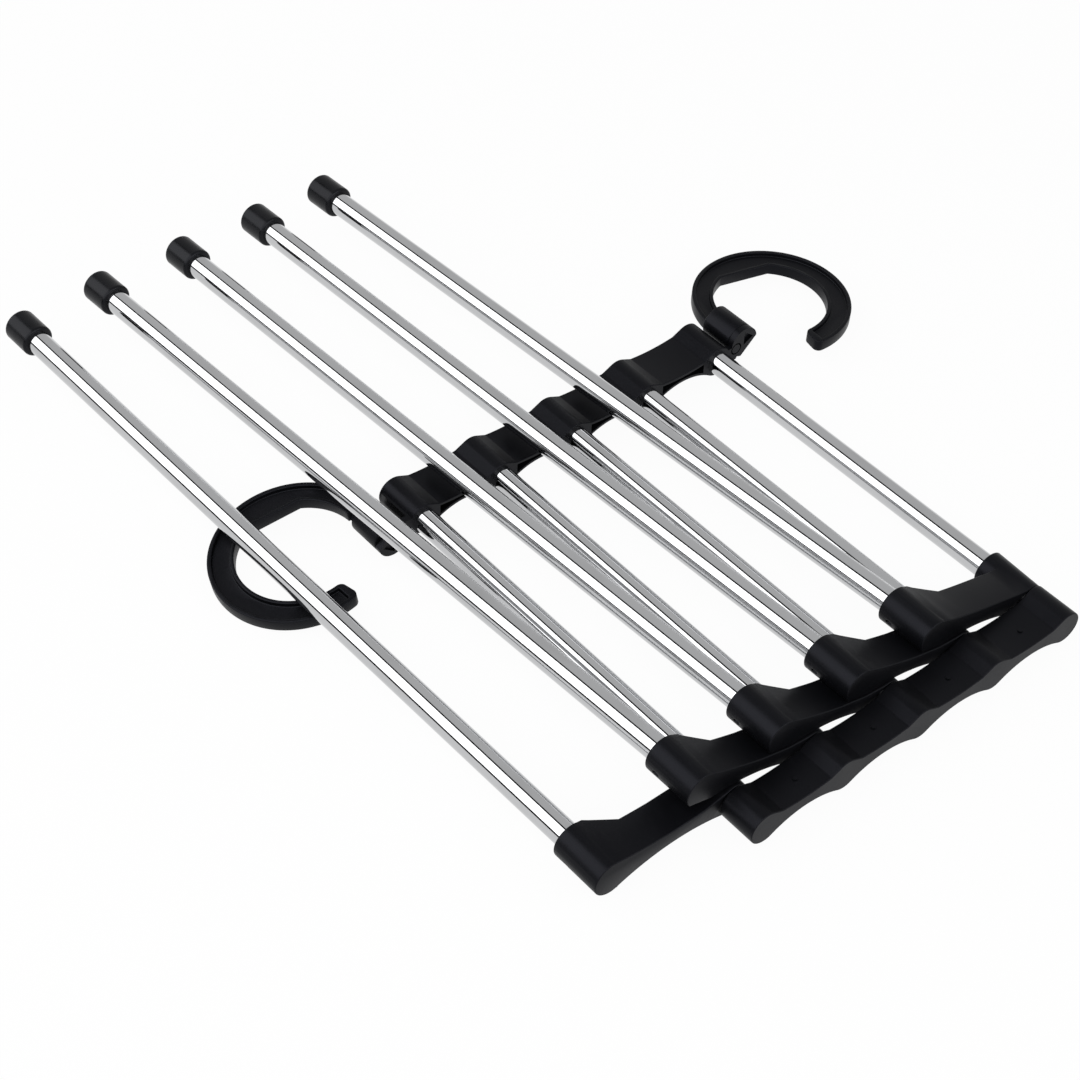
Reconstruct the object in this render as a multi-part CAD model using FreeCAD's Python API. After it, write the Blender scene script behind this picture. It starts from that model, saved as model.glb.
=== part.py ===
import FreeCAD, Part
import math
import os
from FreeCAD import Vector

# Multi-tier trouser hanger, lying flat with its arms folded over to one side.
# Origin: centre of the front rail's flat front face.
# +X runs along the rails to the right hook, +Y runs rearwards to the rod caps, +Z is up.
# The axes of the fixed tubes lie at Z = 0. Millimetres and degrees.

# Tubes
TUBE_DIAMETER = 9.5
TUBE_WALL = 0.5
TUBE_COUNT = 5
PITCH = 36.6
BEAD_HEIGHT = 0.5
BEAD_WIDTH = 1.6

# Boss and wave shape that both rails share
BOSS_WALL = 1.75
FLANK_ANGLE = 65.0
SHOULDER_OUT = 7.1
SHOULDER_HEIGHT = 3.8
TROUGH_HEIGHT = 3.1
CREASE_RADIUS = 2.0
FRONT_ARCH_HEIGHT = 1.9
HOOK_ARCH_HEIGHT = 0.7
RAIL_ROUND = 0.4

# Front rail, and the tube length that shows between the links and the hook rail
FRONT_RAIL_WIDTH = 15.4
FRONT_RAIL_SOCKET = 12.0
REAR_SLANT = 0.8
FREE_SPAN = 147.3
NUB_RADIUS = 0.9
NUB_HEIGHT = 0.5
NUB_OUT = 1.8

# Hook rail
HOOK_RAIL_WIDTH = 19.5
HOOK_RAIL_SOCKET = 16.0
CORE_DEPTH = 15.0
CORE_WALL = 1.3
CORE_SIDE_WALL = 1.0

# Swing links
LINK_LENGTH = 53.0
LINK_WIDTH = 20.8
PIVOT_BOSS_FRONT = 6.2
PIVOT_BOSS_REAR = 7.0
PIVOT_SET_IN = 0.3
STACK_LIFT = 16.1
SWING_BOSS_FRONT = 7.0
SWING_BOSS_REAR = 7.2
SWING_BOSS_FLAT = 5.4
WEB_SET_IN = 6.3
WEB_HEIGHT = 5.1
WEB_START = 10.0
WEB_END = 27.0
SEAT_HEIGHT = 3.9
SEAT_START = 13.0
SEAT_END = 26.0
SWEEP_SAG = 0.2
CREASE_SET_IN = 6.3
CREASE_HEIGHT = 6.0
RIDGE_SET_IN = 2.2
RIDGE_HEIGHT = 6.8
TUCK_HEIGHT = 6.3
GUSSET_START_SET_IN = 15.0
GUSSET_END_SET_IN = 4.4
LINK_ARCH_HEIGHT = 2.0
LOCK_SLOT_LENGTH = 2.4
LOCK_SLOT_WIDTH = 1.3
LOCK_SLOT_DEPTH = 0.8
LOCK_SLOT_SET_IN = 4.0
LOCK_SLOT_ANGLE = 205.0

# Swing rods and caps
ROD_FREE_LENGTH = 313.7
ROD_SOCKET = 15.5
ROD_SPLAYS = (2.4, 1.85, 1.9, 2.3, 1.8)
ROD_DROOPS = (1.0, 1.0, 1.0, 1.0, -1.15)
CAP_DIAMETER = 13.2
CAP_LENGTH = 14.2
CAP_SOCKET = 12.0
CAP_ROUND = 1.2
CAP_MOUTH_ROUND = 1.2

# Hooks
HINGE_OFFSET = 14.0
HINGE_RISE = 3.2
BARREL_RADIUS = 6.6
BARREL_SET_IN = 2.0
BARREL_END_WALL = 3.0
BARREL_LAND = 0.6
BARREL_LAND_ANGLE = 125.0
EAR_THICKNESS = 2.6
EAR_CHORD = 3.9
EAR_CHORD_ANGLE = -47.0
SPINDLE_RADIUS = 2.6
SPINDLE_BEAD = 0.3
LEDGE_OVERHANG = 0.1
LEDGE_TOP = -0.5
LEDGE_THICKNESS = 3.0
PIN_RADIUS = 2.1
PIN_GAP = 0.6
PIN_IN = 4.2
PIN_DROP = 1.4
POCKET_DEPTH = 1.2
POCKET_SIDE = 0.2
POCKET_LOW = 1.4
POCKET_TIP_OUT = 4.7
POCKET_TIP_RISE = 1.2
POCKET_PEAK_RISE = 5.1
RIGHT_HOOK_TILT = 2.3
LEFT_HOOK_TILT = 9.6
RING_REACH = 31.4
RING_SET_BACK = 16.6
RING_DROP = 4.7
RING_OUTER = 32.8
RING_HOLE = 23.5
RING_HOLE_SHIFT = 0.8
RING_FLAT = 20.6
RIGHT_FLAT_ANGLE = 77.0
LEFT_FLAT_ANGLE = 98.0
RING_THICKNESS = 5.0
RING_TIP_ANGLE = -101.0
RING_STUB = 6.0
RING_TIP_ROUND = 2.6
OUTER_RIM = 1.7
INNER_RIM = 1.5
CHANNEL_DEPTH = 1.8
CHANNEL_TIP_WALL = 5.0

# Clearances
RUNNING_FIT = 0.05
SOCKET_FIT = 0.02
SIDE_GAP = 0.3
REST_GAP = 0.3
OVERCUT = 1.0
NEAR = 0.01

# Sizes worked out from the above
tube_radius = TUBE_DIAMETER / 2
boss_radius = tube_radius + BOSS_WALL
tube_x = [((TUBE_COUNT - 1) / 2 - index) * PITCH for index in range(TUBE_COUNT)]
front_rail_rear = FRONT_RAIL_WIDTH
link_front = front_rail_rear + SIDE_GAP
link_rear = link_front + LINK_WIDTH
link_middle = (link_front + link_rear) / 2
hook_rail_front = link_rear + FREE_SPAN
hook_rail_rear = hook_rail_front + HOOK_RAIL_WIDTH
hinge_x = tube_x[0] + HINGE_OFFSET
ear_rear = hook_rail_front + EAR_THICKNESS
barrel_rear = hook_rail_rear - BARREL_SET_IN
spindle_end = barrel_rear - BARREL_END_WALL
ring_y = hook_rail_front + RING_SET_BACK
FAR = 400.0


def at(x, z, y=0.0):
    return Vector(x, y, z)


def polar(radius, angle, x=0.0, z=0.0):
    turn = math.radians(angle)
    return at(x + radius * math.cos(turn), z + radius * math.sin(turn))


def line(start, end):
    return Part.LineSegment(start, end).toShape()


def arc(start, middle, end):
    return Part.Arc(start, middle, end).toShape()


def prism(edges, y_low, y_high):
    """Close the edges, drawn in the XZ plane, into a face and extrude it along Y."""
    face = Part.Face(Part.Wire(edges))
    face.translate(Vector(0, y_low, 0))
    return face.extrude(Vector(0, y_high - y_low, 0))


def plan_prism(points, z_low, z_high):
    """Extrude a polygon, drawn in the XY plane, along Z."""
    face = Part.Face(Part.makePolygon(points + points[:1]))
    face.translate(Vector(0, 0, z_low))
    return face.extrude(Vector(0, 0, z_high - z_low))


def polygon(points):
    return [line(points[i], points[(i + 1) % len(points)]) for i in range(len(points))]


def bar(radius, y_low, y_high, x=0.0, z=0.0):
    return Part.makeCylinder(radius, y_high - y_low, at(x, z, y_low), Vector(0, 1, 0))


def half_turn(shape):
    """Copy for the left end: the right end turned over about the middle tube."""
    turned = shape.copy()
    turned.rotate(Vector(0, 0, 0), Vector(0, 1, 0), 180)
    return turned


def edges_on(shape, point, normal):
    """Edges that lie wholly in the plane through a point."""
    return [edge for edge in shape.Edges
            if all(abs((spot - point).dot(normal)) < 1e-4 for spot in edge.discretize(4))]


def set_back(x):
    """How far the front rail's slanted rear side lies behind its left end, at a tube."""
    return (x - tube_x[-1]) * math.tan(math.radians(REAR_SLANT))


# Both rails: a row of round bosses joined by webs with a shallow trough on top and an arch below.

def trough_edges(left, right):
    """Top outline from the boss at left to the boss at right: flank, crease, trough, crease, flank."""
    middle = (left + right) / 2
    half = middle - left - SHOULDER_OUT
    sag = SHOULDER_HEIGHT - TROUGH_HEIGHT
    radius = (half ** 2 + sag ** 2) / (2 * sag)
    centre = at(0, TROUGH_HEIGHT + radius)
    flank = polar(boss_radius, FLANK_ANGLE, left - middle)
    down = polar(1.0, FLANK_ANGLE - 90)
    outward = polar(1.0, FLANK_ANGLE)
    base = flank + outward * CREASE_RADIUS - centre
    along = base.dot(down)
    travel = -along + math.sqrt(along ** 2 - base.dot(base) + (radius - CREASE_RADIUS) ** 2)
    crease_centre = flank + outward * CREASE_RADIUS + down * travel
    start = flank + down * travel
    reach = crease_centre - centre
    end = centre + reach * (radius / reach.Length)
    bend = (start - crease_centre) + (end - crease_centre)
    bend.normalize()
    bend = crease_centre + bend * CREASE_RADIUS

    def left_side(point):
        return at(middle + point.x, point.z)

    def right_side(point):
        return at(middle - point.x, point.z)

    return [
        line(left_side(flank), left_side(start)),
        arc(left_side(start), left_side(bend), left_side(end)),
        arc(left_side(end), at(middle, TROUGH_HEIGHT), right_side(end)),
        arc(right_side(end), right_side(bend), right_side(start)),
        line(right_side(start), right_side(flank)),
    ]


def arch_radius(arch_height):
    """Radius of the arch under a web that leaves both boss circles without a corner."""
    depth = boss_radius - arch_height
    return ((PITCH / 2) ** 2 - depth * (boss_radius + arch_height)) / (2 * depth)


def rail_edges(arch_height):
    xs = sorted(tube_x)
    flank = polar(boss_radius, FLANK_ANGLE)
    away = at(PITCH / 2, -arch_height - arch_radius(arch_height))
    under = away * (boss_radius / away.Length)
    first, last = xs[0], xs[-1]
    edges = [arc(at(first + under.x, under.z), at(first - boss_radius, 0), at(first + flank.x, flank.z))]
    for left, right in zip(xs, xs[1:]):
        edges += trough_edges(left, right)
        if right != last:
            crown = at(right, boss_radius)
            edges.append(arc(at(right - flank.x, flank.z), crown, at(right + flank.x, flank.z)))
    edges.append(arc(at(last - flank.x, flank.z), at(last + boss_radius, 0), at(last - under.x, under.z)))
    for right, left in zip(xs[::-1], xs[-2::-1]):
        crown = at((left + right) / 2, -arch_height)
        edges.append(arc(at(right - under.x, under.z), crown, at(left + under.x, under.z)))
        if left != first:
            foot = at(left, -boss_radius)
            edges.append(arc(at(left + under.x, under.z), foot, at(left - under.x, under.z)))
    return edges


def rail_blank(y_low, y_high, arch_height, slant):
    """Rail whose rear side turns by the slant about the leftmost tube."""
    rail = prism(rail_edges(arch_height), y_low, y_high + PITCH)
    corner = Vector(tube_x[-1], y_high, 0)
    behind = Part.makeBox(FAR, FAR, FAR, corner - Vector(FAR / 2, 0, FAR / 2))
    behind.rotate(corner, Vector(0, 0, 1), slant)
    rail = rail.cut(behind)
    turn = math.radians(slant)
    rims = edges_on(rail, Vector(0, y_low, 0), Vector(0, 1, 0))
    rims += edges_on(rail, corner, Vector(-math.sin(turn), math.cos(turn), 0))
    return rail.makeFillet(RAIL_ROUND, rims)


def make_front_rail():
    rail = rail_blank(0.0, front_rail_rear, FRONT_ARCH_HEIGHT, REAR_SLANT)
    sockets = [bar(tube_radius + SOCKET_FIT, front_rail_rear - FRONT_RAIL_SOCKET, front_rail_rear + PITCH, x)
               for x in tube_x]
    nubs = []
    for left, right in zip(tube_x, tube_x[1:]):
        base = at((left + right) / 2 + NUB_OUT, TROUGH_HEIGHT - NUB_RADIUS, FRONT_RAIL_WIDTH / 2)
        nubs.append(Part.makeCylinder(NUB_RADIUS, NUB_RADIUS + NUB_HEIGHT, base))
    return rail.cut(sockets).fuse(nubs).removeSplitter()


def core_pocket(left, right):
    """Hollow in the hook rail's front side, between two tube bosses."""
    low_x = left + boss_radius + CORE_SIDE_WALL
    high_x = right - boss_radius - CORE_SIDE_WALL
    middle = (left + right) / 2
    top_end = SHOULDER_HEIGHT - CORE_WALL
    top_mid = TROUGH_HEIGHT - CORE_WALL
    radius = arch_radius(HOOK_ARCH_HEIGHT)
    low_mid = CORE_WALL - HOOK_ARCH_HEIGHT
    low_end = low_mid - radius + math.sqrt(radius ** 2 - (middle - low_x) ** 2)
    edges = [
        arc(at(low_x, top_end), at(middle, top_mid), at(high_x, top_end)),
        line(at(high_x, top_end), at(high_x, low_end)),
        arc(at(high_x, low_end), at(middle, low_mid), at(low_x, low_end)),
        line(at(low_x, low_end), at(low_x, top_end)),
    ]
    return prism(edges, hook_rail_front - 1, hook_rail_front + CORE_DEPTH)


def hinge_ear():
    """Ear plate, ledge and spindle on the rail's right end."""
    low = HINGE_RISE
    ear = bar(BARREL_RADIUS, hook_rail_front, ear_rear, hinge_x, low)
    chord = Part.makeBox(BARREL_RADIUS, 2 * EAR_THICKNESS, 4 * BARREL_RADIUS,
                         at(EAR_CHORD, -2 * BARREL_RADIUS, hook_rail_front - EAR_THICKNESS / 2))
    chord.rotate(Vector(0, 0, 0), Vector(0, 1, 0), -EAR_CHORD_ANGLE)
    chord.translate(at(hinge_x, low))
    ear = ear.cut(chord)
    root = tube_x[0]
    neck_low = LEDGE_TOP - LEDGE_THICKNESS
    neck = prism(polygon([at(root, neck_low), at(hinge_x - EAR_CHORD, neck_low),
                          at(hinge_x, low), at(root, low)]), hook_rail_front, ear_rear)
    ledge_end = root + boss_radius + LEDGE_OVERHANG
    ledge = prism(polygon([at(root, neck_low), at(ledge_end, neck_low),
                           at(ledge_end, LEDGE_TOP), at(root, LEDGE_TOP)]), hook_rail_front, barrel_rear)
    spindle = bar(SPINDLE_RADIUS, hook_rail_front, spindle_end, hinge_x, low)
    bead_end = spindle_end - BEAD_WIDTH
    bead = bar(SPINDLE_RADIUS + SPINDLE_BEAD, bead_end - BEAD_WIDTH, bead_end, hinge_x, low)
    ear = ear.fuse([neck, ledge, spindle, bead])
    pocket_floor = hook_rail_front + POCKET_DEPTH
    pin_x = hinge_x - PIN_IN
    pin_z = low - PIN_DROP
    pin = bar(PIN_RADIUS, hook_rail_front - 1, pocket_floor, pin_x, pin_z)
    pin_gap = bar(PIN_RADIUS + PIN_GAP, hook_rail_front - 1, pocket_floor, pin_x, pin_z).cut(pin)
    side_x = hinge_x - POCKET_SIDE
    pocket = prism(polygon([at(side_x, low - POCKET_LOW), at(hinge_x + POCKET_TIP_OUT, low + POCKET_TIP_RISE),
                            at(side_x, low + POCKET_PEAK_RISE)]), hook_rail_front - 1, pocket_floor)
    return ear.cut([pin_gap, pocket])


def make_hook_rail():
    rail = rail_blank(hook_rail_front, hook_rail_rear, HOOK_ARCH_HEIGHT, 0.0)
    xs = sorted(tube_x)
    rail = rail.cut([core_pocket(left, right) for left, right in zip(xs, xs[1:])])
    ear = hinge_ear()
    rail = rail.fuse([ear, half_turn(ear)])
    sockets = [bar(tube_radius + SOCKET_FIT, hook_rail_front - 1, hook_rail_front + HOOK_RAIL_SOCKET, x)
               for x in tube_x]
    return rail.cut(sockets).removeSplitter()


def make_fixed_tube(x):
    """Tube from socket to socket, with the bead that holds its link in place."""
    y_low = front_rail_rear - FRONT_RAIL_SOCKET
    y_high = hook_rail_front + HOOK_RAIL_SOCKET
    tube = bar(tube_radius, y_low, y_high, x)
    bead_y = link_middle + set_back(x)
    bead = bar(tube_radius + BEAD_HEIGHT, bead_y - BEAD_WIDTH / 2, bead_y + BEAD_WIDTH / 2, x)
    bore = bar(tube_radius - TUBE_WALL, y_low - OVERCUT, y_high + OVERCUT, x)
    return tube.fuse(bead).cut(bore).removeSplitter()


# Arms: each stacked link lies with its swing boss on the web of the next link,
# and the last rod lies on the left hook's ring.

def next_lift(lift_under):
    """Lift of a link whose boss rests on the web of a link at the given lift."""
    rise = SEAT_HEIGHT + SWING_BOSS_FLAT + REST_GAP - PITCH * math.sin(lift_under)
    return lift_under + math.asin(rise / LINK_LENGTH)


def lift_over_barrel(splay, droop):
    """Lift of the last stacked link, whose rod passes over the left hook's barrel."""
    run_low = hook_rail_front - link_rear
    run_high = barrel_rear - link_rear
    reach = BARREL_RADIUS + tube_radius + REST_GAP
    lift = 0.0
    for _ in range(30):
        rod_x = PITCH + LINK_LENGTH * math.cos(lift) + math.tan(math.radians(splay)) * run_low
        aside = rod_x - 2 * PITCH - HINGE_OFFSET
        above = math.sqrt(max(reach ** 2 - aside ** 2, 0.0)) - HINGE_RISE
        lift = math.asin((above + math.tan(math.radians(droop)) * run_high) / LINK_LENGTH)
    return lift


def lift_over_ring(splay, droop):
    """Lift of the last link, whose rod lies on the left hook's ring and rises to the rear."""
    tilt = math.radians(LEFT_HOOK_TILT)
    run = ring_y - RING_OUTER - link_rear
    lift = 0.0
    for _ in range(30):
        rod_out = LINK_LENGTH * math.cos(lift) + math.tan(math.radians(splay)) * run
        out = rod_out - HINGE_OFFSET - tube_radius
        ring_top = (RING_DROP + RING_THICKNESS / 2) * math.cos(tilt) - out * math.sin(tilt) - HINGE_RISE
        rod_low = math.tan(math.radians(droop)) * run
        lift = math.asin((ring_top + tube_radius + REST_GAP + rod_low) / LINK_LENGTH)
    return lift


def arm_lifts():
    """Lifts of the arms from right to left, in degrees."""
    last = lift_over_ring(ROD_SPLAYS[-1], ROD_DROOPS[-1])
    least = max(lift_over_barrel(ROD_SPLAYS[-2], ROD_DROOPS[-2]), next_lift(last))
    lifts = [max(math.radians(STACK_LIFT), least), last]
    for _ in range(TUBE_COUNT - 2):
        lifts.insert(0, next_lift(lifts[0]))
    return [math.degrees(lift) for lift in lifts]


def link_arch():
    """Arch under the web, touching both bosses without a corner: two ends and the crown."""
    def spans(radius):
        return [math.sqrt((boss - LINK_ARCH_HEIGHT) * (boss + LINK_ARCH_HEIGHT + 2 * radius))
                for boss in (PIVOT_BOSS_FRONT, SWING_BOSS_FRONT)]

    low, high = 1.0, FAR
    for _ in range(60):
        radius = (low + high) / 2
        if sum(spans(radius)) < LINK_LENGTH:
            low = radius
        else:
            high = radius
    crown = at(-spans(low)[0], -LINK_ARCH_HEIGHT)
    centre = at(crown.x, -LINK_ARCH_HEIGHT - low)
    swing = at(-LINK_LENGTH, 0)
    near_end = centre * (PIVOT_BOSS_FRONT / centre.Length)
    to_centre = centre - swing
    far_end = swing + to_centre * (SWING_BOSS_FRONT / to_centre.Length)
    return near_end, crown, far_end


def make_link_blank(carries, rests):
    """Link with its pivot at the origin and its rod boss at -X, not yet turned or bored for its rod.

    The web of a link that carries another dips to a seat.
    The boss of a link that rests on another is flat below.
    """
    near_end, crown, far_end = link_arch()
    flank = polar(PIVOT_BOSS_FRONT, 180 - FLANK_ANGLE)
    web_start = at(-WEB_START, WEB_HEIGHT)
    web_end = at(-WEB_END, WEB_HEIGHT)
    if carries:
        web_start = at(-SEAT_START, SEAT_HEIGHT)
        web_end = at(-SEAT_END, SEAT_HEIGHT)
    crease = at(CREASE_SET_IN - LINK_LENGTH, CREASE_HEIGHT)
    sweep = (web_end + crease) * 0.5 - at(0, SWEEP_SAG)
    ridge = at(RIDGE_SET_IN - LINK_LENGTH, RIDGE_HEIGHT)
    tuck = at(-LINK_LENGTH, TUCK_HEIGHT)
    outline = [
        line(near_end, at(0, 0)),
        line(at(0, 0), flank),
        line(flank, web_start),
        line(web_start, web_end),
        arc(web_end, sweep, crease),
        line(crease, ridge),
        line(ridge, tuck),
        line(tuck, at(-LINK_LENGTH, 0)),
        line(at(-LINK_LENGTH, 0), far_end),
        arc(far_end, crown, near_end),
    ]
    body = prism(outline, link_front, link_rear)
    web_rear = link_rear - WEB_SET_IN
    plan = [Vector(FAR, link_front, 0), Vector(FAR, web_rear, 0),
            Vector(GUSSET_START_SET_IN - LINK_LENGTH, web_rear, 0),
            Vector(GUSSET_END_SET_IN - LINK_LENGTH, link_rear, 0),
            Vector(-FAR, link_rear, 0), Vector(-FAR, link_front, 0)]
    body = body.common(plan_prism(plan, -FAR, FAR))
    pivot = Part.makeCone(PIVOT_BOSS_FRONT, PIVOT_BOSS_REAR, LINK_WIDTH - PIVOT_SET_IN, at(0, 0, link_front),
                          Vector(0, 1, 0))
    swing = Part.makeCone(SWING_BOSS_FRONT, SWING_BOSS_REAR, LINK_WIDTH, at(-LINK_LENGTH, 0, link_front),
                          Vector(0, 1, 0))
    body = body.fuse([pivot, swing])
    if rests:
        flat_corner = at(-LINK_LENGTH - SWING_BOSS_REAR, -SWING_BOSS_FLAT - SWING_BOSS_REAR, link_front)
        body = body.cut(Part.makeBox(3 * SWING_BOSS_REAR, LINK_WIDTH, SWING_BOSS_REAR, flat_corner))
    body = body.removeSplitter()
    bore = bar(tube_radius + RUNNING_FIT, link_front - OVERCUT, link_rear + OVERCUT)
    groove_half = BEAD_WIDTH / 2 + SIDE_GAP
    groove = bar(tube_radius + BEAD_HEIGHT + SIDE_GAP, link_middle - groove_half, link_middle + groove_half)
    slot_y = link_rear - LOCK_SLOT_SET_IN - LOCK_SLOT_LENGTH
    slot = Part.makeBox(2 * LOCK_SLOT_DEPTH, LOCK_SLOT_LENGTH, LOCK_SLOT_WIDTH,
                        at(SWING_BOSS_REAR - LOCK_SLOT_DEPTH, -LOCK_SLOT_WIDTH / 2, slot_y))
    slot.rotate(Vector(0, 0, 0), Vector(0, 1, 0), -LOCK_SLOT_ANGLE)
    slot.translate(Vector(-LINK_LENGTH, 0, 0))
    return body.cut([bore, groove, slot])


def make_arm(blank, pivot_x, lift, splay, droop):
    """Link, rod and cap of one arm where they lie."""
    turn = math.radians(lift)
    mouth = at(pivot_x - LINK_LENGTH * math.cos(turn), LINK_LENGTH * math.sin(turn), link_rear)
    along = Vector(-math.tan(math.radians(splay)), 1, -math.tan(math.radians(droop)))
    along.normalize()

    def round_bar(radius, start, length):
        return Part.makeCylinder(radius, length, mouth + along * start, along)

    rod_length = ROD_SOCKET + ROD_FREE_LENGTH + CAP_SOCKET
    link = blank.copy()
    link.rotate(Vector(0, 0, 0), Vector(0, 1, 0), lift)
    link.translate(Vector(pivot_x, set_back(pivot_x), 0))
    link = link.cut(round_bar(tube_radius + SOCKET_FIT, -ROD_SOCKET, rod_length))
    rod = round_bar(tube_radius, -ROD_SOCKET, rod_length)
    rod = rod.cut(round_bar(tube_radius - TUBE_WALL, -ROD_SOCKET - OVERCUT, rod_length + 2 * OVERCUT))
    cap = Part.makeCylinder(CAP_DIAMETER / 2, CAP_LENGTH)
    far_rim = [edge for edge in cap.Edges if edge.BoundBox.ZMin > CAP_LENGTH - NEAR]
    cap = cap.makeFillet(CAP_ROUND, far_rim)
    near_rim = [edge for edge in cap.Edges if edge.BoundBox.ZMax < NEAR]
    cap = cap.makeFillet(CAP_MOUTH_ROUND, near_rim)
    cap = cap.cut(Part.makeCylinder(tube_radius + SOCKET_FIT, CAP_SOCKET + OVERCUT, Vector(0, 0, -OVERCUT)))
    turned = FreeCAD.Rotation(Vector(0, 0, 1), along)
    cap.Placement = FreeCAD.Placement(mouth + along * ROD_FREE_LENGTH, turned)
    return link, rod, cap


# Hooks, drawn for the right side.

def ring_blank(outer, hole, flat, flat_angle, height):
    """Disc with a hole that sits nearer to the rail and has one straight stretch, standing on Z = 0."""
    centre = Vector(hinge_x + RING_REACH, ring_y, 0)
    middle = centre - Vector(RING_HOLE_SHIFT, 0, 0)
    half = math.degrees(math.acos(flat / hole))

    def on_hole(angle):
        turn = math.radians(angle)
        return middle + Vector(math.cos(turn), math.sin(turn), 0) * hole

    left = on_hole(flat_angle + half)
    right = on_hole(flat_angle - half)
    inside = Part.Face(Part.Wire([line(right, left), arc(left, on_hole(flat_angle + 180), right)]))
    return Part.makeCylinder(outer, height, centre).cut(inside.extrude(Vector(0, 0, height)))


def mouth_block(tip_set_in, barrel_set_in):
    """Block that takes away the ring between its tip and its barrel."""
    centre = Vector(hinge_x + RING_REACH, ring_y, 0)
    tip = math.radians(RING_TIP_ANGLE) + tip_set_in / RING_OUTER
    points = [centre + Vector(0, barrel_set_in, 0),
              centre + Vector(FAR * math.cos(tip), FAR * math.sin(tip), 0),
              centre + Vector(-FAR, -FAR, 0), centre + Vector(-FAR, barrel_set_in, 0)]
    return plan_prism(points, -FAR, FAR)


def round_tip(ring):
    """Round the two upright edges at the ring's tip."""
    corners = [edge for edge in ring.Edges
               if edge.BoundBox.ZLength > RING_THICKNESS / 2 and edge.BoundBox.YMax < ring_y - RING_FLAT]
    return ring.makeFillet(RING_TIP_ROUND, corners)


def make_right_hook(tilt, flat_angle):
    ring = ring_blank(RING_OUTER, RING_HOLE, RING_FLAT, flat_angle, RING_THICKNESS)
    ring = round_tip(ring.cut(mouth_block(0.0, -RING_STUB)))
    trim_x = hinge_x + math.sqrt(BARREL_RADIUS ** 2 - RING_DROP ** 2)
    ring = ring.cut(Part.makeBox(RING_REACH / 2, 2 * RING_STUB, RING_THICKNESS,
                                 Vector(trim_x, barrel_rear - 2 * RING_STUB, 0)))
    channel = ring_blank(RING_OUTER - OUTER_RIM, RING_HOLE + INNER_RIM, RING_FLAT + INNER_RIM, flat_angle,
                         CHANNEL_DEPTH)
    channel = channel.cut(mouth_block(CHANNEL_TIP_WALL, barrel_rear - ring_y + OUTER_RIM))
    upper = channel.copy()
    upper.translate(Vector(0, 0, RING_THICKNESS - CHANNEL_DEPTH))
    ring = ring.cut([channel, upper])
    ring.translate(Vector(0, 0, HINGE_RISE - RING_DROP - RING_THICKNESS / 2))
    barrel_front = ear_rear + SIDE_GAP
    barrel = bar(BARREL_RADIUS, barrel_front, barrel_rear, hinge_x, HINGE_RISE)
    land_corner = at(BARREL_RADIUS - BARREL_LAND, -BARREL_RADIUS)
    land = Part.makeBox(BARREL_RADIUS, FAR, 2 * BARREL_RADIUS, land_corner)
    land.rotate(Vector(0, 0, 0), Vector(0, 1, 0), -BARREL_LAND_ANGLE)
    land.translate(at(hinge_x, HINGE_RISE))
    barrel = barrel.cut(land)
    bore = bar(SPINDLE_RADIUS + RUNNING_FIT, barrel_front - OVERCUT, spindle_end + SIDE_GAP,
               hinge_x, HINGE_RISE)
    groove = bar(SPINDLE_RADIUS + SPINDLE_BEAD + SIDE_GAP, spindle_end - BEAD_WIDTH * 2 - SIDE_GAP,
                 spindle_end - BEAD_WIDTH + SIDE_GAP, hinge_x, HINGE_RISE)
    hook = barrel.fuse(ring).cut([bore, groove]).removeSplitter()
    hook.rotate(at(hinge_x, HINGE_RISE), Vector(0, 1, 0), tilt)
    return hook


def main():
    os.makedirs("parts", exist_ok=True)
    nodes = {"hook_rail": make_hook_rail(), "front_rail": make_front_rail()}
    first_blank = make_link_blank(False, True)
    middle_blank = make_link_blank(True, True)
    last_blank = make_link_blank(True, False)
    blanks = [first_blank] + [middle_blank] * (TUBE_COUNT - 2) + [last_blank]
    lifts = arm_lifts()
    for index, x in enumerate(tube_x):
        name = str(index + 1)
        link, rod, cap = make_arm(blanks[index], x, lifts[index], ROD_SPLAYS[index], ROD_DROOPS[index])
        nodes["fixed_tube_" + name] = make_fixed_tube(x)
        nodes["link_" + name] = link
        nodes["swing_rod_" + name] = rod
        nodes["end_cap_" + name] = cap
    nodes["hook_right"] = make_right_hook(RIGHT_HOOK_TILT, RIGHT_FLAT_ANGLE)
    nodes["hook_left"] = half_turn(make_right_hook(-LEFT_HOOK_TILT, LEFT_FLAT_ANGLE))
    print("lifts of the arms", ["%.2f" % lift for lift in lifts])
    for name, shape in nodes.items():
        print(name, "valid", shape.isValid(), "solids", len(shape.Solids), "volume %.1f" % shape.Volume)
        shape.exportStep("parts/%s.step" % name)


main()
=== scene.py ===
"""Looks of a folding multi-tier trouser hanger: satin black mouldings, chromed tubes and a pale studio."""
import math

import bpy
from bpy.props import FloatProperty, FloatVectorProperty, IntProperty, PointerProperty
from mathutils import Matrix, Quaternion, Vector


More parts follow.
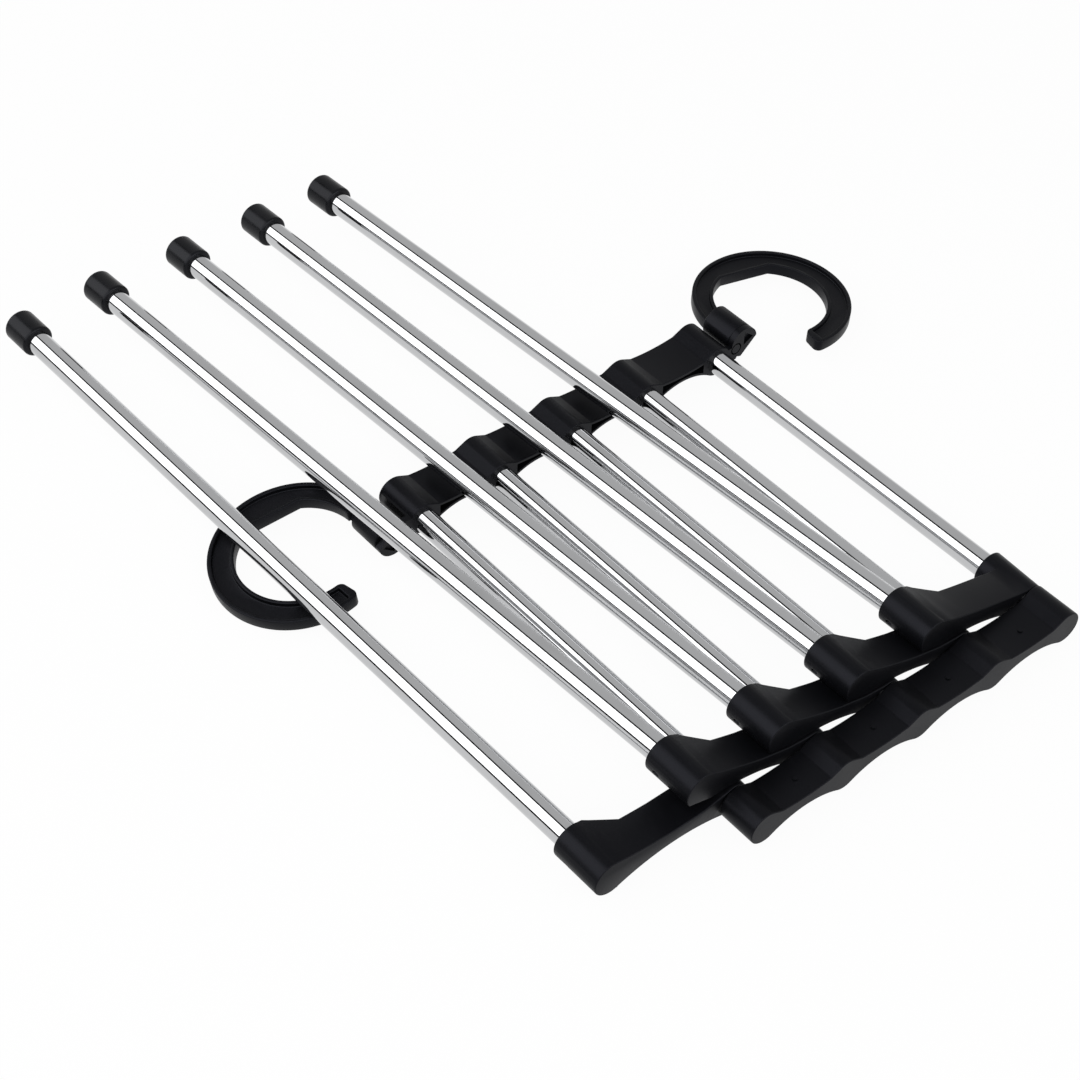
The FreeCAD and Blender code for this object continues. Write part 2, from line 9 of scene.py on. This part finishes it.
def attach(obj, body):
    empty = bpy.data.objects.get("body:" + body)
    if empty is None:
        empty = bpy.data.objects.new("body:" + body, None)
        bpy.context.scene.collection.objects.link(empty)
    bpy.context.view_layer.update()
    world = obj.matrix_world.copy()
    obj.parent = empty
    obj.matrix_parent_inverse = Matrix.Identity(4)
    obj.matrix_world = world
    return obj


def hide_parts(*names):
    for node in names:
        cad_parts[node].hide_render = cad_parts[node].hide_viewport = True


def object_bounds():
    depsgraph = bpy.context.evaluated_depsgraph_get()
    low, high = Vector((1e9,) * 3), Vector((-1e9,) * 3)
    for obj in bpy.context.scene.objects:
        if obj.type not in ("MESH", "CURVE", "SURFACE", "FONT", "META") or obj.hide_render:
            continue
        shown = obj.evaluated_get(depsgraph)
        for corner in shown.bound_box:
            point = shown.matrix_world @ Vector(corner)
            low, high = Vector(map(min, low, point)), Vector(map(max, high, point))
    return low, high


bl_info = {
    "name": "Trouser hanger looks",
    "version": (1, 0, 0),
    "blender": (4, 5, 0),
    "location": "3D View > Sidebar > Hanger",
    "description": "Finishes, rounded mouldings and studio of a folding multi-tier trouser hanger",
    "category": "Object",
}

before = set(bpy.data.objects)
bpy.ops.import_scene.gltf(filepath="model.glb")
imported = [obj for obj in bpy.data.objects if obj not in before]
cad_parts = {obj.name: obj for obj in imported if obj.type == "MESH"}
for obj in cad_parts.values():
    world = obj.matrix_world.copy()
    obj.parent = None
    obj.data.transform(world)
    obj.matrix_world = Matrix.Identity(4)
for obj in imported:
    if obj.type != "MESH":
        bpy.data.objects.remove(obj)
cad_low, cad_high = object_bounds()

ARMS = range(1, 6)

# Mouldings: corners closer than this are joined, flatter bends are dissolved, and sharper ones rounded.
MERGE_DISTANCE = 0.000002
FLAT_ANGLE = math.radians(0.6)
SMOOTH_ANGLE = math.radians(32)

# Where a noise starts to show in a finish, and where it shows fully.
CLOUD_RANGE = (0.35, 0.7)
SCUFF_RANGE = (0.58, 0.75)
SMUDGE_RANGE = (0.52, 0.78)

# Scale of a noise along X, Y and Z: less than 1 draws it out along the tubes, more squeezes it into rings.
SCUFF_STRETCH = (1, 0.25, 1)
RUB_STRETCH = (1, 6, 1)
STREAK_STRETCH = (1, 0.01, 1)
SMUDGE_STRETCH = (1, 0.35, 1)

# Shares of the worn colour, and what each mark adds to the roughness.
CLOUD_WEAR = 0.6
SCUFF_WEAR = 0.4
CLOUD_ROUGHNESS = 0.08
SCUFF_ROUGHNESS = 0.05
CAP_CLOUD_ROUGHNESS = 0.07
SMUDGE_ROUGHNESS = 0.03
STREAK_ROUGHNESS = 0.02

# Sockets of the Mix node that blend two colours.
MIX_SHARE = 0
MIX_FIRST = 6
MIX_SECOND = 7
MIX_RESULT = 2

# Camera: width of the sensor in millimetres, and the nearest and farthest things that it shows in metres.
SENSOR_WIDTH = 36
NEAREST = 0.01
FARTHEST = 100


class PlasticSettings(bpy.types.PropertyGroup):
    """Satin black plastic of the rails, links and hooks."""

    colour: FloatVectorProperty(
        name="Colour", description="Colour of the moulded plastic", subtype="COLOR",
        default=(0.0017, 0.0018, 0.0023), min=0, max=1)
    worn_colour: FloatVectorProperty(
        name="Worn colour", description="Colour where handling has polished or dusted it", subtype="COLOR",
        default=(0.0032, 0.0033, 0.004), min=0, max=1)
    roughness: FloatProperty(
        name="Roughness", description="Least roughness of the satin face", default=0.35, min=0, max=1)
    gloss: FloatProperty(
        name="Gloss", description="Strength of the face's reflection, where 0.5 is plain plastic",
        default=0.115, min=0, max=1)
    sheen_colour: FloatVectorProperty(
        name="Sheen colour", description="Tint of the face's reflection", subtype="COLOR",
        default=(0.82, 0.84, 1.0), min=0, max=1)
    cloud_width: FloatProperty(
        name="Cloud width", description="Width of the cloudy patches in the sheen", subtype="DISTANCE",
        default=0.022)
    scuff_width: FloatProperty(
        name="Scuff width", description="Width of the small scuffs from handling", subtype="DISTANCE",
        default=0.0016)
    grain: FloatProperty(
        name="Grain", description="Width of the fine mould grain", subtype="DISTANCE", default=0.00045)
    grain_depth: FloatProperty(
        name="Grain depth", description="Height of the fine mould grain", subtype="DISTANCE",
        default=0.000012)
    edge_round: FloatProperty(
        name="Edge round", description="Width of the rounding along moulded edges", subtype="DISTANCE",
        default=0.0004)
    edge_steps: IntProperty(
        name="Edge steps", description="Faces across one rounded edge", default=3, min=1)


class CapSettings(bpy.types.PropertyGroup):
    """Smoother black plastic of the caps on the rod ends."""

    colour: FloatVectorProperty(
        name="Colour", description="Colour of the caps", subtype="COLOR",
        default=(0.0028, 0.0029, 0.0035), min=0, max=1)
    worn_colour: FloatVectorProperty(
        name="Worn colour", description="Colour where handling has polished or dusted them", subtype="COLOR",
        default=(0.0042, 0.00435, 0.00525), min=0, max=1)
    roughness: FloatProperty(
        name="Roughness", description="Least roughness of the caps", default=0.26, min=0, max=1)
    gloss: FloatProperty(
        name="Gloss", description="Strength of the caps' reflection, where 0.5 is plain plastic",
        default=0.14, min=0, max=1)
    sheen_colour: FloatVectorProperty(
        name="Sheen colour", description="Tint of the caps' reflection", subtype="COLOR",
        default=(0.88, 0.9, 1.0), min=0, max=1)
    cloud_width: FloatProperty(
        name="Cloud width", description="Width of the cloudy patches in the sheen", subtype="DISTANCE",
        default=0.008)
    rub_width: FloatProperty(
        name="Rub width", description="Width of the rub marks round a cap", subtype="DISTANCE", default=0.004)
    rub_depth: FloatProperty(
        name="Rub depth", description="Height of the rub marks round a cap", subtype="DISTANCE",
        default=0.00001)


class ChromeSettings(bpy.types.PropertyGroup):
    """Bright chromed tube."""

    colour: FloatVectorProperty(
        name="Colour", description="Reflected colour of the plating", subtype="COLOR",
        default=(0.53, 0.535, 0.545), min=0, max=1)
    smudge_colour: FloatVectorProperty(
        name="Smudge colour", description="Reflected colour where the plating is dulled", subtype="COLOR",
        default=(0.47, 0.473, 0.48), min=0, max=1)
    roughness: FloatProperty(
        name="Roughness", description="Least roughness of the plating", default=0.035, min=0, max=1)
    streak: FloatProperty(
        name="Streak width", description="Width of the drawing streaks along a tube", subtype="DISTANCE",
        default=0.0006)
    smudge_width: FloatProperty(
        name="Smudge width", description="Width of the dull smudges from handling", subtype="DISTANCE",
        default=0.012)


class StudioSettings(bpy.types.PropertyGroup):
    """Floor, light and camera."""

    floor_colour: FloatVectorProperty(
        name="Floor", description="Colour of the pale floor", subtype="COLOR", default=(0.7, 0.7, 0.7))
    floor_size: FloatProperty(
        name="Floor size", description="Side of the floor", subtype="DISTANCE", default=30.0)
    floor_white: FloatProperty(
        name="Floor white", description="Share of plain white in the floor as it is seen and mirrored",
        subtype="FACTOR", default=0.955)
    room_grey: FloatProperty(
        name="Room", description="Brightness of the room's soft light", default=0.38)
    softbox_light: FloatProperty(
        name="Softbox", description="Brightness of the softbox's face", default=1.85)
    softbox_width: FloatProperty(
        name="Softbox width", description="Width of the softbox, from the ground up over the hanger",
        subtype="DISTANCE", default=1.44)
    softbox_length: FloatProperty(
        name="Softbox length", description="Length of the softbox along the tubes", subtype="DISTANCE",
        default=3.2)
    softbox_distance: FloatProperty(
        name="Softbox distance", description="Distance of the softbox from the hanger", subtype="DISTANCE",
        default=1.2)
    softbox_shift: FloatProperty(
        name="Softbox shift", description="Shift of the softbox and the card along the tubes, to the caps",
        subtype="DISTANCE", default=0.8)
    softbox_angle: FloatProperty(
        name="Softbox angle", description="Height of the softbox's middle over the ground", subtype="ANGLE",
        default=math.radians(45))
    frame_width: FloatProperty(
        name="Frame width", description="Width of the dark frame along the softbox's long edges",
        subtype="DISTANCE", default=0.45)
    frame_grey: FloatProperty(
        name="Frame", description="Brightness of the softbox's dark frame", default=0.02)
    strip_light: FloatProperty(
        name="Strip", description="Brightness of the strip light in front of the hanger", default=4.0)
    strip_length: FloatProperty(
        name="Strip length", description="Length of the strip light along the front rail", subtype="DISTANCE",
        default=1.8)
    strip_height: FloatProperty(
        name="Strip height", description="Height of the strip light's face", subtype="DISTANCE", default=0.45)
    strip_place: FloatVectorProperty(
        name="Strip place", description="Middle of the strip light, seen from the hanger's middle",
        subtype="TRANSLATION", default=(0.2, -1.15, 0.72))
    card_grey: FloatProperty(
        name="Card", description="Brightness of the grey card across from the softbox", default=0.67)
    card_width: FloatProperty(
        name="Card width", description="Width of the grey card, from the ground up over the hanger",
        subtype="DISTANCE", default=2.5)
    card_length: FloatProperty(
        name="Card length", description="Length of the grey card along the tubes", subtype="DISTANCE",
        default=6.4)
    aim: FloatVectorProperty(
        name="Aim", description="Point that the camera looks at", subtype="TRANSLATION",
        default=(-0.04647, 0.14916, 0.0))
    distance: FloatProperty(
        name="Distance", description="Distance of the camera from its aim", subtype="DISTANCE",
        default=0.8704)
    azimuth: FloatProperty(
        name="Azimuth", description="Turn of the camera round the hanger", subtype="ANGLE",
        default=math.radians(-40.94))
    elevation: FloatProperty(
        name="Elevation", description="Height of the camera over the horizon", subtype="ANGLE",
        default=math.radians(44.56))
    roll: FloatProperty(
        name="Roll", description="Turn of the camera about its line of sight", subtype="ANGLE",
        default=math.radians(2.26))
    lens: FloatProperty(
        name="Lens", description="Focal length on a 36 mm wide sensor, in millimetres", default=79.32)


class Signal:
    """Output of a shader node: sums and products with it add Math nodes."""

    def __init__(self, finish, socket):
        self.finish = finish
        self.socket = socket

    def maths(self, operation, first, second):
        return self.finish.node("Math", {"operation": operation}, {0: first, 1: second})

    def __add__(self, other):
        return self.maths("ADD", self, other)

    def __radd__(self, other):
        return self.maths("ADD", other, self)

    def __rmul__(self, other):
        return self.maths("MULTIPLY", other, self)


class Finish:
    """Node tree of a material or of the world."""

    def __init__(self, owner):
        owner.use_nodes = True
        self.tree = owner.node_tree
        self.tree.nodes.clear()

    def node(self, kind, settings, inputs, output=0):
        """Add a node: its settings come first, then the values or links of its sockets."""
        made = self.tree.nodes.new("ShaderNode" + kind)
        for name, value in settings.items():
            setattr(made, name, value)
        for name, value in inputs.items():
            if isinstance(value, Signal):
                self.tree.links.new(value.socket, made.inputs[name])
            else:
                made.inputs[name].default_value = value
        return Signal(self, made.outputs[output])

    def place(self):
        """Place on the object, in metres."""
        return self.node("TexCoord", {}, {}, "Object")

    def stretched(self, scale):
        """Place on the object, scaled along each axis."""
        return self.node("Mapping", {}, {"Vector": self.place(), "Scale": scale})

    def noise(self, vector, width, detail):
        """Soft noise whose blotches are about the given width."""
        return self.node("TexNoise", {}, {"Vector": vector, "Scale": 1 / width, "Detail": detail})

    def spread(self, value, low, high):
        """Stretch the range from low to high over 0 to 1."""
        return self.node("MapRange", {}, {"Value": value, "From Min": low, "From Max": high})

    def seen(self):
        """1 for rays by which the camera, metal and glass see the surroundings, else 0."""
        paths = [self.node("LightPath", {}, {}, "Is %s Ray" % kind)
                 for kind in ("Camera", "Glossy", "Transmission")]
        return paths[0].maths("MINIMUM", paths[0] + paths[1] + paths[2], 1.0)

    def blend(self, share, first, second):
        """Colour between first and second."""
        inputs = {MIX_SHARE: share, MIX_FIRST: (*first, 1), MIX_SECOND: (*second, 1)}
        return self.node("Mix", {"data_type": "RGBA"}, inputs, MIX_RESULT)

    def bump(self, height, depth):
        """Normal of a face whose relief has the given depth."""
        return self.node("Bump", {}, {"Height": height, "Strength": 1.0, "Distance": depth})

    def show(self, kind, shader):
        """Make the shader the result of the tree."""
        made = self.tree.nodes.new("ShaderNode" + kind)
        self.tree.links.new(shader.socket, made.inputs["Surface"])

    def surface(self, inputs):
        """Make a plain surface the result of the tree."""
        self.show("OutputMaterial", self.node("BsdfPrincipled", {}, inputs))


def new_finish(name):
    """New material and its empty node tree."""
    material = bpy.data.materials.new(name)
    return material, Finish(material)


def satin_plastic(settings):
    """Moulded black plastic with a fine grain, cloudy sheen and a little dust from handling."""
    material, finish = new_finish("satin_black_plastic")
    place = finish.place()
    clouds = finish.spread(finish.noise(place, settings.cloud_width, detail=4.0), *CLOUD_RANGE)
    handled = finish.stretched(SCUFF_STRETCH)
    scuffs = finish.spread(finish.noise(handled, settings.scuff_width, detail=3.0), *SCUFF_RANGE)
    grain = finish.noise(place, settings.grain, detail=1.0)
    wear = CLOUD_WEAR * clouds + SCUFF_WEAR * scuffs
    finish.surface({
        "Base Color": finish.blend(wear, settings.colour, settings.worn_colour),
        "Roughness": settings.roughness + CLOUD_ROUGHNESS * clouds + SCUFF_ROUGHNESS * scuffs,
        "Normal": finish.bump(grain, settings.grain_depth),
        "Specular IOR Level": settings.gloss,
        "Specular Tint": (*settings.sheen_colour, 1),
    })
    return material


def cap_plastic(settings):
    """Smoother black plastic with faint rub marks round the cap."""
    material, finish = new_finish("smooth_black_plastic")
    clouds = finish.spread(finish.noise(finish.place(), settings.cloud_width, detail=3.0), *CLOUD_RANGE)
    rub = finish.noise(finish.stretched(RUB_STRETCH), settings.rub_width, detail=2.0)
    finish.surface({
        "Base Color": finish.blend(clouds, settings.colour, settings.worn_colour),
        "Roughness": settings.roughness + CAP_CLOUD_ROUGHNESS * clouds,
        "Normal": finish.bump(rub, settings.rub_depth),
        "Specular IOR Level": settings.gloss,
        "Specular Tint": (*settings.sheen_colour, 1),
    })
    return material


def chrome_plate(settings):
    """Bright plating on drawn tube, with faint streaks along it and dull smudges from handling."""
    material, finish = new_finish("chrome_plate")
    streaks = finish.noise(finish.stretched(STREAK_STRETCH), settings.streak, detail=2.0)
    handled = finish.stretched(SMUDGE_STRETCH)
    smudges = finish.spread(finish.noise(handled, settings.smudge_width, detail=4.0), *SMUDGE_RANGE)
    finish.surface({
        "Base Color": finish.blend(smudges, settings.colour, settings.smudge_colour),
        "Metallic": 1.0,
        "Roughness": settings.roughness + SMUDGE_ROUGHNESS * smudges + STREAK_ROUGHNESS * streaks,
    })
    return material


def dress(piece, material):
    """Give a piece one finish all over."""
    piece.data.materials.clear()
    piece.data.materials.append(material)


def deselect():
    bpy.ops.object.select_all(action="DESELECT")


def make_active(piece):
    """Select a piece alone, for the tools that work on the selection."""
    deselect()
    piece.select_set(True)
    bpy.context.view_layer.objects.active = piece


def moulded_piece(node, body, edge_round, edge_steps):
    """Copy of a moulding with its sharp edges rounded, which stands for it."""
    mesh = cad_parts[node].data.copy()
    piece = bpy.data.objects.new(node + "_moulding", mesh)
    bpy.context.scene.collection.objects.link(piece)
    make_active(piece)
    bpy.ops.mesh.customdata_custom_splitnormals_clear()
    bpy.ops.object.mode_set(mode="EDIT")
    bpy.ops.mesh.select_all(action="SELECT")
    bpy.ops.mesh.remove_doubles(threshold=MERGE_DISTANCE)
    bpy.ops.mesh.dissolve_limited(angle_limit=FLAT_ANGLE)
    bpy.ops.object.mode_set(mode="OBJECT")
    bevel = piece.modifiers.new("rounded_edges", "BEVEL")
    bevel.width = edge_round
    bevel.segments = edge_steps
    bevel.limit_method = "ANGLE"
    bevel.angle_limit = SMOOTH_ANGLE
    bevel.use_clamp_overlap = False
    bevel.miter_outer = "MITER_ARC"
    bpy.ops.object.modifier_apply(modifier=bevel.name)
    bpy.ops.object.shade_smooth_by_angle(angle=SMOOTH_ANGLE)
    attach(piece, body)
    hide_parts(node)
    return piece


class HANGER_OT_rails(bpy.types.Operator):
    """Give the front rail and the hook rail their satin plastic"""

    bl_idname = "hanger.rails"
    bl_label = "Rails"

    def execute(self, context):
        material = satin_plastic(context.scene.hanger_plastic)
        for node in ("front_rail", "hook_rail"):
            dress(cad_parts[node], material)
        return {"FINISHED"}


class HANGER_OT_links(bpy.types.Operator):
    """Round the edges of the swing links"""

    bl_idname = "hanger.links"
    bl_label = "Swing links"

    def execute(self, context):
        settings = context.scene.hanger_plastic
        material = bpy.data.materials["satin_black_plastic"]
        for arm in ARMS:
            link = moulded_piece("link_%d" % arm, "arm_%d" % arm, settings.edge_round, settings.edge_steps)
            dress(link, material)
        return {"FINISHED"}


class HANGER_OT_hooks(bpy.types.Operator):
    """Round the edges of the ring hooks"""

    bl_idname = "hanger.hooks"
    bl_label = "Ring hooks"

    def execute(self, context):
        settings = context.scene.hanger_plastic
        material = bpy.data.materials["satin_black_plastic"]
        for side in ("right", "left"):
            hook = moulded_piece("hook_" + side, side + "_hook", settings.edge_round, settings.edge_steps)
            dress(hook, material)
        return {"FINISHED"}


class HANGER_OT_tubes(bpy.types.Operator):
    """Plate the fixed tubes and the swing rods"""

    bl_idname = "hanger.tubes"
    bl_label = "Tubes and rods"

    def execute(self, context):
        material = chrome_plate(context.scene.hanger_chrome)
        for arm in ARMS:
            for node in ("fixed_tube_%d" % arm, "swing_rod_%d" % arm):
                dress(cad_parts[node], material)
        return {"FINISHED"}


class HANGER_OT_caps(bpy.types.Operator):
    """Give the rod caps their smooth plastic"""

    bl_idname = "hanger.caps"
    bl_label = "Rod caps"

    def execute(self, context):
        material = cap_plastic(context.scene.hanger_cap)
        for arm in ARMS:
            dress(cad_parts["end_cap_%d" % arm], material)
        return {"FINISHED"}


def lay_floor(settings):
    """Pale floor that shows as white, with a faint shadow of the hanger."""
    deselect()
    middle = (cad_low + cad_high) / 2
    bpy.ops.mesh.primitive_plane_add(size=settings.floor_size, location=(middle.x, middle.y, cad_low.z))
    floor = bpy.context.object
    floor.name = "floor"
    material, finish = new_finish("pale_floor")
    pale = finish.node("BsdfDiffuse", {}, {"Color": (*settings.floor_colour, 1)})
    white = finish.node("Emission", {}, {"Color": (1, 1, 1, 1), "Strength": 1.0})
    mixed = finish.node("MixShader", {}, {0: settings.floor_white * finish.seen(), 1: pale, 2: white})
    finish.show("OutputMaterial", mixed)
    dress(floor, material)


def light_room(settings):
    """Soft grey light from all round, from a backdrop that shows as white."""
    world = bpy.data.worlds.new("room")
    bpy.context.scene.world = world
    finish = Finish(world)
    grey = settings.room_grey
    room = finish.node("Background", {}, {"Color": (grey, grey, grey, 1), "Strength": 1.0})
    white = finish.node("Background", {}, {"Color": (1, 1, 1, 1), "Strength": 1.0})
    finish.show("OutputWorld", finish.node("MixShader", {}, {0: finish.seen(), 1: room, 2: white}))


def hang_panel(name, centre, lean, width, length, brightness):
    """Stage panel that only shows in reflections."""
    deselect()
    bpy.ops.mesh.primitive_plane_add(size=1, location=centre, rotation=(0, lean, 0))
    panel = bpy.context.object
    panel.name = name
    panel.scale = (width, length, 1)
    material, finish = new_finish(name)
    glow = finish.node("Emission", {}, {"Color": (brightness, brightness, brightness, 1), "Strength": 1.0})
    finish.show("OutputMaterial", glow)
    dress(panel, material)
    panel.visible_camera = False
    panel.visible_shadow = False
    panel.visible_diffuse = False


def hang_lamp(name, centre, rotation, size, brightness):
    """Rectangular lamp whose face has the given brightness."""
    deselect()
    bpy.ops.object.light_add(type="AREA", location=centre, rotation=rotation)
    lamp = bpy.context.object
    lamp.name = name
    lamp.data.shape = "RECTANGLE"
    lamp.data.size, lamp.data.size_y = size
    lamp.data.energy = brightness * math.pi * size[0] * size[1]
    lamp.visible_camera = False


def hang_softbox(settings):
    """Large softbox with dark frames, leaning over the hanger's left, and a grey card across from it."""
    angle = settings.softbox_angle
    lean = math.pi / 2 - angle
    out = Vector((-math.cos(angle), 0, math.sin(angle)))
    across = Vector((math.sin(angle), 0, math.cos(angle)))
    middle = (cad_low + cad_high) / 2
    base = Vector((middle.x, middle.y + settings.softbox_shift, cad_low.z))
    centre = base + out * settings.softbox_distance
    size = (settings.softbox_width, settings.softbox_length)
    hang_lamp("softbox", centre, (0, -lean, 0), size, settings.softbox_light)
    edge = across * (settings.softbox_width + settings.frame_width) / 2
    for name, place in (("upper_frame", centre + edge), ("lower_frame", centre - edge)):
        hang_panel(name, place, -lean, settings.frame_width, settings.softbox_length, settings.frame_grey)
    card = base + Vector((-out.x, 0, out.z)) * settings.softbox_distance
    hang_panel("grey_card", card, lean, settings.card_width, settings.card_length, settings.card_grey)


def hang_strip(settings):
    """Strip light in front, which draws the fine bright lines along the front edges."""
    place = Vector(settings.strip_place)
    centre = (cad_low + cad_high) / 2 + place
    rotation = (-place).to_track_quat("-Z", "Y").to_euler()
    hang_lamp("strip", centre, rotation, (settings.strip_length, settings.strip_height), settings.strip_light)


def set_camera(settings):
    """Camera at the photograph's viewing angle."""
    level = math.cos(settings.elevation)
    back = Vector((math.sin(settings.azimuth) * level, -math.cos(settings.azimuth) * level,
                   math.sin(settings.elevation)))
    deselect()
    bpy.ops.object.camera_add(location=Vector(settings.aim) + back * settings.distance)
    camera = bpy.context.object
    camera.name = "camera"
    camera.rotation_mode = "QUATERNION"
    camera.rotation_quaternion = (-back).to_track_quat("-Z", "Y") @ Quaternion((0, 0, 1), settings.roll)
    camera.data.sensor_width = SENSOR_WIDTH
    camera.data.lens = settings.lens
    camera.data.clip_start = NEAREST
    camera.data.clip_end = FARTHEST
    bpy.context.scene.camera = camera


class HANGER_OT_stage(bpy.types.Operator):
    """Lay the floor, light the room and set the camera"""

    bl_idname = "hanger.stage"
    bl_label = "Stage"

    def execute(self, context):
        settings = context.scene.hanger_studio
        lay_floor(settings)
        light_room(settings)
        hang_softbox(settings)
        hang_strip(settings)
        set_camera(settings)
        context.scene.view_settings.view_transform = "Standard"
        return {"FINISHED"}


OPERATORS = (
    HANGER_OT_rails,
    HANGER_OT_links,
    HANGER_OT_hooks,
    HANGER_OT_tubes,
    HANGER_OT_caps,
    HANGER_OT_stage,
)
SETTINGS = {
    "hanger_plastic": PlasticSettings,
    "hanger_cap": CapSettings,
    "hanger_chrome": ChromeSettings,
    "hanger_studio": StudioSettings,
}


class HANGER_PT_panel(bpy.types.Panel):
    """Sidebar panel with the hanger's pieces and settings"""

    bl_idname = "HANGER_PT_panel"
    bl_label = "Trouser hanger"
    bl_space_type = "VIEW_3D"
    bl_region_type = "UI"
    bl_category = "Hanger"

    def draw(self, context):
        for operator in OPERATORS:
            self.layout.operator(operator.bl_idname)
        for name, group in SETTINGS.items():
            box = self.layout.box()
            for setting in group.__annotations__:
                box.prop(getattr(context.scene, name), setting)


CLASSES = (*SETTINGS.values(), *OPERATORS, HANGER_PT_panel)


def register():
    for item in CLASSES:
        bpy.utils.register_class(item)
    for name, group in SETTINGS.items():
        setattr(bpy.types.Scene, name, PointerProperty(type=group))


def unregister():
    for name in SETTINGS:
        delattr(bpy.types.Scene, name)
    for item in reversed(CLASSES):
        bpy.utils.unregister_class(item)


def main():
    register()
    bpy.ops.hanger.rails()
    bpy.ops.hanger.links()
    bpy.ops.hanger.hooks()
    bpy.ops.hanger.tubes()
    bpy.ops.hanger.caps()
    bpy.ops.hanger.stage()


if __name__ == "__main__":
    main()
